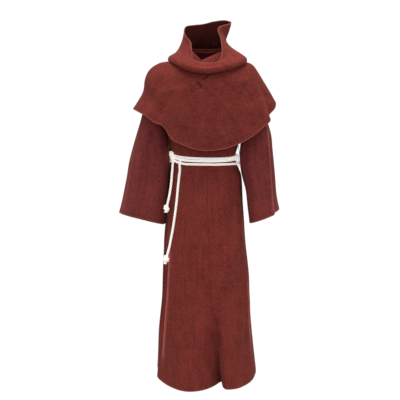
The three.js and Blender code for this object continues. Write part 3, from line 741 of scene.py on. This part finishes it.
def clothShell(name, surface, us, vs, look, allRound=False, steps=(0.01, 1e-4), shift=(0, 0, 0)):
    # two faces half a thickness either side of the middle, joined by a rounded edge. Rows run
    # down to the hem.
    u, v = np.meshgrid(us if allRound else tighter(us), tighter(vs))
    points, away, pressed = creased(surface, u, v, look, allRound, steps, shift)
    fromHem, half = hemmed(points, look)
    grain = clothGrain(points, fromHem, allRound)
    rows, columns = u.shape
    count = rows * columns
    i, j = np.arange(rows - 1)[:, None], np.arange(columns if allRound else columns - 1)[None]
    corners = ((i, j), (i, j + 1), (i + 1, j + 1), (i + 1, j))
    outer = np.stack([row * columns + column % columns for row, column in corners], -1).reshape(-1, 4)
    outerUv = np.stack([grain[row, column] for row, column in corners], 2).reshape(-1, 4, 2)

    index = np.arange(count).reshape(rows, columns)
    onHem, onBorder = np.zeros(count, bool), np.zeros(count, bool)
    onHem[index[-1]] = True
    flat, wall = points.reshape(-1, 3).copy(), (away * half).reshape(-1, 3)
    flatFromHem, flatGrain = fromHem.ravel(), grain[:, :columns].reshape(-1, 2)
    middles, middleFromHem, rims, rimUvs = [], [], [], []
    start = 2 * count
    for border, out in clothBorders(points, index, allRound):
        # a line of points at the middle of the edge, and a strip from it to each face
        middles.append(flat[border])
        middleFromHem.append(flatFromHem[border])
        onBorder[border] = True
        flat[border] -= unit(out) * 0.9 * half.reshape(-1, 1)[border] * onHem[border][:, None]
        after = (np.arange(len(border)) + 1) % len(border)
        middle = start + np.arange(len(border))
        rims.append(np.stack([border[after], start + after, middle, border], -1))
        rims.append(np.stack([start + after, border[after] + count, border + count, middle], -1))
        rimUvs += [np.stack([flatGrain[border]] * 4, 1)] * 2
        start += len(border)

    rimOnly = np.zeros(start - 2 * count)
    cornered = onBorder & ~onHem
    cornered[index[-1, [0, -1]]] = not allRound
    piece = makePiece(
        name, np.concatenate([flat + wall, flat - wall, *middles]),
        [np.concatenate([outer, outer[:, ::-1] + count, *rims])],
        [np.concatenate([outerUv, outerUv[:, ::-1], *rimUvs])], look["finish"],
        {
            "fromHem": np.concatenate([flatFromHem, flatFromHem, *middleFromHem]) * mm,
            # inside: the share of painted shade on the inner face, fading out within 6 mm of the hem
            "inside": np.concatenate([np.zeros(count), look["inside"] * ease(flatFromHem / 6), rimOnly]),
            "pressed": np.concatenate([pressed.ravel(), np.zeros(count), rimOnly]),
        },
        np.concatenate([cornered, cornered, rimOnly.astype(bool)]))
    return piece


def hangingCloth(piece):
    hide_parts(piece.name.removesuffix("_cloth"))


robeLook = {
    "thickness": 1.9, "hem": 20, "hemExtra": 1.1, "uneven": 2.8, "seed": 4, "free": (-1, 0),
    "seamDip": 1.0, "inside": 0.3, "finish": wool,
    # ridge lines that are raised and carry a painted highlight
    "pressed": {
        "front": [
            (-164, 760, -199, 1360, 4, 4.2, -1.9), (-186, 1140, -208, 1460, 1, 4.4, -1.2),
            (191, 1000, 214, 1420, -4, 3, -1.1), (150, 600, 178, 900, 3, 3.4, -0.5),
        ],
        "back": [(-120, 560, -160, 1300, 8, 4, -0.4), (90, 640, 120, 1360, -8, 4, -0.4)],
    },
    "creases": {
        "front": [
            (-60, 505, -74, 640, 5, 7, 3), (-92, 512, -112, 690, -6, 8, 3.4),
            (-28, 503, -30, 600, 3, 6, 2.4), (12, 508, 16, 700, 4, 7, -2.4),
            (36, 503, 40, 590, -3, 6, 2.6), (70, 510, 82, 680, 4, 8, 3), (104, 520, 128, 760, 8, 9, 3),
            (-10, 700, -34, 1120, 10, 20, 4), (60, 780, 74, 1300, -8, 22, 4),
            (-110, 760, -138, 1420, 12, 20, -5), (-180, 740, -213, 1340, 4, 9, 18),
            (-200, 1160, -222, 1440, 2, 7, 8), (192, 1060, 207, 1400, -5, 10, -5),
            (176, 1100, 190, 1420, 0, 11, 4), (-64, 1300, -84, 1560, 6, 24, -5),
            (104, 1260, 118, 1560, 4, 22, -5), (16, 1220, 22, 1500, 4, 12, 4),
            (-150, 560, -160, 760, 6, 10, 4), (-34, 420, -60, 470, 4, 8, 2.4),
            (50, 424, 82, 462, -4, 8, 2.4),
        ],
        "back": [
            (-70, 505, -86, 700, 5, 8, 3.4), (-16, 505, -22, 760, -5, 9, 3),
            (44, 505, 58, 690, 4, 8, 3.2), (96, 520, 118, 800, 8, 10, 3.4),
            (-120, 800, -150, 1400, 10, 20, -5), (60, 760, 84, 1380, -9, 22, -4),
            (-40, 900, -52, 1440, 8, 20, 4), (140, 980, 164, 1440, 6, 16, 4),
        ],
    },
}
robeDown = np.concatenate([
    np.linspace(0, 330, 38)[:-1], closerAtEnd(330, robe["length"] - 30, robe["length"], 190, 12),
])
robePieces = [
    ("front_right", np.linspace(-1, -0.0006, 64), 0.47), ("front_left", np.linspace(0.0006, 1, 70), 0.42),
    ("back_right", -np.linspace(0.0006, 1, 64), 0.44), ("back_left", np.linspace(0.0006, 1, 64), 0.42),
]
for name, across, area in robePieces:
    side, out = np.sign(across[0]), -1 if name.startswith("front") else 1
    made = clothShell(f"robe_{name}_cloth", robePanel(name.split("_")[0]), across, robeDown, robeLook,
                      steps=(0.004, 0.05), shift=(side * 0.15, out * 0.21, 0))
    hangingCloth(made)
print("robe made")

# the sleeves, from the armhole (along 0) to the cuff (along 10)
sleeveColumns = "along innerX innerDrop outerX outerDrop front back skew tilt"
sleeveRings = {
    "right": table(sleeveColumns, [
        (0, 187, 303, 200, 54, 80, 80, 0, 0), (1, 190, 313, 234, 82, 81, 79, 0, 0),
        (2, 190, 323, 259, 134, 82, 77, 0, 0), (3, 189, 336, 276, 196, 82, 74, 0, 0),
        (4, 186, 354, 294, 268, 82, 70, 0.04, 0), (5, 183, 392, 321, 366, 82, 68, 0.06, 0),
        (6, 180, 456, 342, 440, 83, 68, 0.08, 0.02), (7, 178, 534, 361, 512, 84, 69, 0.08, 0.04),
        (8, 182, 618, 376, 590, 86, 70, 0.08, 0.07), (9, 190, 702, 391, 664, 88, 72, 0.06, 0.1),
        (10, 197, 786, 408, 732, 90, 74, 0.04, 0.13),
    ]),
    "left": table(sleeveColumns, [
        (0, 184, 303, 200, 54, 80, 80, 0, 0), (1, 182, 316, 219, 90, 81, 79, 0, 0),
        (2, 178, 332, 240, 138, 84, 78, 0, 0), (3, 173, 352, 256, 200, 86, 78, 0.02, 0),
        (4, 166, 380, 271, 270, 88, 78, 0.06, 0), (5, 159, 420, 299, 362, 90, 79, 0.1, 0),
        (6, 158, 480, 308, 442, 93, 80, 0.12, 0), (7, 167, 546, 314, 512, 97, 80, 0.14, 0),
        (8, 186, 620, 321, 585, 101, 80, 0.16, 0.01), (9, 196, 694, 327, 656, 105, 80, 0.19, 0),
        (10, 209, 768, 338, 722, 110, 80, 0.22, -0.02),
    ]),
}
sleeveSquareness = {"right": 0.82, "left": 0.7}
sleeveFoldColumns = "at spread amount start full end"
sleeveFolds = {
    "right": table(sleeveFoldColumns, [
        (96, 17, 9, 3, 6, 12), (250, 20, 10, 3, 7, 14), (20, 12, 6, 5, 8, 14), (213, 17, -44, 3, 6, 14),
    ]),
    "left": table(sleeveFoldColumns, [
        (16, 13, 11, 3, 7, 14), (44, 9, -5, 3, 7, 14), (120, 15, 7, 3, 6, 12), (255, 20, 10, 3, 7, 14),
    ]),
}


def sleeve(name):
    # rings between an inner and an outer point, squared off a little, with long folds
    rows = curves(sleeveRings[name])

    def surface(around, along):
        sine, cosine = circle(around)
        square = mix(1, sleeveSquareness[name], ease(along / 5))
        out = np.sign(cosine) * np.abs(cosine) ** square
        forth = np.sign(sine) * np.abs(sine) ** square
        depth = np.where(sine > 0, rows["front"](along), rows["back"](along))
        share = (out + 1) / 2
        inwards = 0
        for at, spread, amount, start, full, end in sleeveFolds[name]["rows"]:
            grown = ease((along - start) / (full - start))
            left = 1 - ease((along - full) / (end - full))
            inwards = inwards + amount * grown * left * bell(wrap(around - at), spread, spread)
        y = -depth * forth
        x = mix(rows["innerX"](along), rows["outerX"](along), share) + rows["skew"](along) * y
        startGap = (1.8 + 1.2 * (1 - share)) * clamp(1 - along)
        drop = mix(rows["innerDrop"](along), rows["outerDrop"](along), share)
        return stack(sides[name] * (x - inwards * cosine + startGap), y + inwards * sine,
                     -drop - rows["tilt"](along) * y)

    return surface


sleeveLook = {
    "thickness": 1.9, "hem": 24, "hemExtra": 1.2, "uneven": 2.2, "seed": 9, "free": (0, 1.5),
    "inside": 0.4, "finish": sleeveWool,
    "pressed": {
        "front": [(268, 270, 297, 520, 2, 2, -1), (291, 430, 309, 742, 1, 2, -1.3)],
        "back": [(250, 300, 290, 690, 6, 3, -0.35), (-270, 320, -320, 690, 6, 3, -0.35)],
    },
    "creases": {
        "front": [
            (288, 280, 324, 745, 2, 9, 8), (250, 420, 262, 700, 8, 14, 4),
            (214, 380, 236, 600, -8, 12, 4), (-262, 380, -276, 720, 10, 16, 4),
            (-300, 420, -330, 760, -8, 16, -4), (-222, 400, -236, 640, 6, 12, 4),
            (-238, 330, -262, 420, 6, 10, 4),
        ],
        "back": [
            (270, 300, 300, 640, 8, 14, 5), (226, 420, 250, 700, -8, 14, 4),
            (-256, 320, -290, 680, 8, 14, 5), (-322, 440, -360, 720, 6, 14, -4),
        ],
    },
}
sleeveAngles = np.arange(104) * 360 / 104
sleeveAlong = closerAtEnd(0, 9.6, 10, 112, 10)
for name, area in (("right", 0.33), ("left", 0.30)):
    made = clothShell(f"sleeve_{name}_cloth", sleeve(name), sleeveAngles, sleeveAlong, sleeveLook,
                      allRound=True)
    hangingCloth(made)
print("sleeves made")

# the cape, from its neck seam (down 0) to its hem (down 1)
capeRings = table("down right rightDrop left leftDrop front frontDrop back backDrop rightEase leftEase", [
    (0, 84, -24, 84, -24, 114, 56, 78, -16, 1.2, 1.2),
    (0.05, 91, -14, 91, -14, 119, 66, 85, -6, 1.4, 1.4),
    (0.2, 150, 25.6, 152, 26.4, 143, 106, 118, 40, 2, 2),
    (0.4, 212, 41, 206, 45, 156, 178, 150, 126, 2, 1.8),
    (0.56, 254, 70, 237, 80, 162, 246, 168, 205, 2.1, 1.6),
    (0.72, 276, 112, 267, 126, 166, 310, 176, 278, 2.4, 1.45),
    (0.86, 288, 174, 294, 174, 169, 366, 181, 344, 2.7, 1.35),
    (1, 335, 246, 319, 219, 171, 421, 186, 408, 3, 1.3),
])
capeFolds = table("turn spread out lift power", [
    (-36, 7, -7, 22, 4), (-27, 5, 3, -8, 4), (-84, 10, 3, 0, 3), (71, 5, -18, -6, 4),
    (62, 5, 6, -4, 4), (-52, 9, 0, 9, 4), (130, 13, -14, 6, 3), (152, 12, 12, -4, 2),
    (-132, 13, -14, 6, 3), (-155, 12, 12, -4, 2),
])
capeReach = curves(capeRings)


def reachRing(rows, at, turn, rightEase, leftEase):
    # a ring that reaches its own distance and drop to the right, left, front and back
    sine, cosine = circle(turn)
    wide = np.where(sine < 0, rows["right"](at), rows["left"](at))
    sideDrop = np.where(sine < 0, rows["rightDrop"](at), rows["leftDrop"](at))
    deep = np.where(cosine > 0, rows["front"](at), rows["back"](at))
    endDrop = np.where(cosine > 0, rows["frontDrop"](at), rows["backDrop"](at))
    fall = np.abs(cosine) ** np.where(sine < 0, rightEase, leftEase)
    return stack(wide * sine, -deep * cosine, -mix(sideDrop, endDrop, fall))


def capeSurface(turn, down):
    eases = capeReach["rightEase"](down), capeReach["leftEase"](down)
    point = reachRing(capeReach, down, turn, *eases)
    sine, cosine = circle(turn)
    out, lift = 0, 0
    for at, spread, outwards, rise, power in capeFolds["rows"]:
        amount = down ** power * bell(wrap(turn - at), spread, spread)
        out, lift = out + outwards * amount, lift + rise * amount
    lift = lift - gap * clamp(1 - down * 20)
    return point + stack(out * sine, -out * cosine, lift)


capeLook = {
    "thickness": 2, "hem": 17, "hemExtra": 1, "uneven": 2.4, "seed": 21, "free": (0.04, 0.16),
    "seamDip": 0.8, "inside": 0.3, "finish": capeWool,
    "creases": {
        "front": [
            (22, 76, -22, 116, -2, 4, 13), (20, 66, -26, 106, -2, 5, -5), (-46, 118, -16, 160, 3, 7, 10),
            (-84, 96, -150, 150, 4, 12, 4), (-196, 96, -238, 190, 4, 12, 4),
            (-250, 176, -96, 128, -8, 15, -3), (-150, 150, -230, 290, 8, 18, 3),
            (168, 112, 206, 240, -6, 22, 9), (150, 96, 152, 176, 0, 10, -4),
            (196, 230, 206, 320, 6, 16, -4), (244, 180, 246, 290, 0, 12, -6),
            (262, 170, 296, 216, 0, 9, 4), (84, 110, 100, 240, 8, 16, 3), (60, 330, 96, 400, 6, 18, -3),
            (-96, 300, -70, 400, -6, 18, 3),
        ],
        "back": [
            (-120, 120, -100, 340, 8, 16, 5), (90, 110, 132, 340, -6, 16, 5),
            (-10, 110, 10, 330, 6, 20, -4), (-200, 150, -170, 280, 6, 14, -4),
            (190, 140, 168, 290, 6, 14, 4),
        ],
    },
}
capeDown = closerAtEnd(0, 0.96, 1, 118, 8)
for name, side in sides.items():
    made = clothShell(f"cape_{name}_cloth", capeSurface, side * np.linspace(0, 180, 176), capeDown,
                      capeLook, shift=(side * 0.15, 0, 0))
    hangingCloth(made)
print("cape made")

# the hood, from its neck seam (climb 0) over its roll to its rim (climb 1)
hoodRings = table("climb right rightDrop left leftDrop front frontDrop back backDrop", [
    (0, 84, -24, 84, -24, 114, 56, 78, -16), (0.06, 90, -30, 90, -30, 121, 50, 84, -24),
    (0.14, 112, -12, 114, -12, 133, 60, 98, -10), (0.28, 158, 22, 170, 27, 150, 82, 122, 26),
    (0.36, 172, 27, 184, 31, 159, 76, 132, 29), (0.44, 169, 11, 182, 15, 160, 60, 132, 14),
    (0.56, 141, -7, 154, -5, 148, 45, 120, -8),
])
rims = {
    "right": table("along x y drop swell", [
        (0, -14, -113, 35, 0), (0.09, -44, -114, 28, 0), (0.17, -61, -104, 10, 0),
        (0.27, -65, -86, -26, 0), (0.35, -72, -54, -58, 0), (0.43, -93, -28, -83, 0),
        (0.51, -101, 6, -106, 0), (0.59, -90, 38, -127, 0), (0.68, -54, 62, -134, 0),
        (0.77, -12, 72, -139, 2), (0.86, 34, 70, -150, 10), (0.94, 84, 54, -155, 18),
        (1, 114, 36, -148, 22),
    ]),
    "left": table("along x y drop swell", [
        (0, -14, -113, 35, 0), (0.12, 20, -116, 35, 0), (0.23, 50, -111, 29, 0),
        (0.33, 66, -100, 4, 0), (0.43, 69, -84, -34, 0), (0.53, 63, -62, -74, 4),
        (0.63, 52, -48, -105, 12), (0.72, 57, -24, -122, 20), (0.82, 78, 0, -131, 24),
        (0.92, 104, 22, -138, 24), (1, 114, 36, -148, 22),
    ]),
}
hood = {"rimStart": 0.56, "neckSeamEase": 1.2, "leaving": 0.45, "sink": 0.12, "rise": 0.45}
hoodReach = curves(hoodRings)
rimCurves = {name: curves(rows) for name, rows in rims.items()}


def hoodSurface(side, climb):
    # rings over the rolled fold, then a cubic curve on to the rim; side runs from the crown
    # past the wearer's right to the centre front and on past the left back to the crown
    side, climb = np.broadcast_arrays(side, climb)
    around = side - 2 * np.round(side / 2)
    turn = 180 * around
    rimStart = hood["rimStart"]
    fullness = mix(hood["neckSeamEase"], 2, clamp(climb / 0.2))
    ring = reachRing(hoodReach, np.minimum(climb, rimStart), turn, fullness, fullness)
    low = ring + stack(0, 0, (robe["thickness"] + gap) * clamp(1 - climb * 20))
    along = np.abs(around)
    right, left = rimCurves["right"], rimCurves["left"]

    def rim(column):
        return np.where(around < 0, right[column](along), left[column](along))

    edge = stack(rim("x"), rim("y"), -rim("drop"))
    swell = rim("swell")
    step = 1e-3
    leaving = (ring - reachRing(hoodReach, rimStart - step, turn, 2, 2)) * ((1 - rimStart) / step / 3)
    t = ((climb - rimStart) / (1 - rimStart))[..., None]
    first = ring + leaving * hood["leaving"] + stack(swell / 2, 0, 0)
    second = mix(edge, ring, np.array([hood["sink"], hood["sink"], hood["rise"]])) + stack(swell, 0, 0)
    high = ring * (1 - t) ** 3 + first * 3 * t * (1 - t) ** 2 + second * 3 * t * t * (1 - t) + edge * t ** 3
    return np.where((climb <= rimStart)[..., None], low, high)


hoodLook = {
    "thickness": 2, "hem": 14, "hemExtra": 1.4, "uneven": 2.2, "seed": 33, "free": (0.1, 0.3),
    # inside: the share of painted shade on the inner face, deepest here in the hood
    "seamDip": 0.5, "inside": 0.72, "finish": wool,
    "creases": {
        "front": [
            (-74, -20, -92, 40, 4, 10, 4), (-110, -10, -140, 34, -4, 11, -4),
            (84, -20, 132, 26, 5, 11, 4), (60, 20, 110, 56, -4, 10, -3), (-60, 44, 30, 58, 6, 8, 3),
        ],
        "back": [(20, -60, 60, 10, 5, 14, 5), (-50, -60, -70, 0, -5, 12, 4)],
    },
}
hoodClimb = closerAtEnd(0, 0.96, 1, 96, 7)
for name, side in sides.items():
    made = clothShell(f"hood_{name}_cloth", hoodSurface, side * np.linspace(0.0001, 0.9999, 128),
                      hoodClimb, hoodLook)
    hangingCloth(made)
print("hood made")

# light by direction: white behind the habit as far as the camera sees, and elsewhere a room
# that is bright overhead, softer in front and dim behind and below
studio = {
    "backdrop": 1.03, "spread": (20.5, 26), "front": 0.86, "behind": 0.3, "overhead": 0.75,
    "below": 0.2, "key": 2.7, "elevation": 79, "turned": 4, "softness": 42,
}
world = bpy.data.worlds.new("studio")
world.use_nodes = True
sky = Nodes(world.node_tree)
heading = sky.node("TexCoord", output=0)
pitch = view["pitch"] * degree
near, far = np.cos(np.array(studio["spread"]) * degree)
along = sky.node("VectorMath", {"operation": "DOT_PRODUCT"},
                 {0: heading, 1: (0, np.cos(pitch), -np.sin(pitch))}, output=1)
white = along.rising(far, near)
behind = sky.part(heading, "Y").rising(-0.3, 0.6)
above = sky.part(heading, "Z").rising(0.15, 0.8)
under = 1 - sky.part(heading, "Z").rising(-0.7, -0.05)
level = behind * (studio["behind"] - studio["front"]) + studio["front"]
level = level + above * (studio["overhead"] - level)
level = level + under * (studio["below"] - level)
level = level + white * (studio["backdrop"] - level)
sky.feed(sky.tree.nodes["Background"].inputs["Strength"], level)
sky.tree.nodes["Background"].inputs["Color"].default_value = (1, 1, 1, 1)
scene.world = world
scene.view_settings.view_transform = "Standard"

# a wide soft light from above and a little in front
lampData = bpy.data.lights.new("overhead", "SUN")
lampData.energy = studio["key"]
lampData.angle = studio["softness"] * degree
lamp = bpy.data.objects.new("overhead", lampData)
lamp.rotation_euler = ((90 - studio["elevation"]) * degree, 0, studio["turned"] * degree)
scene.collection.objects.link(lamp)
print("studio lit")
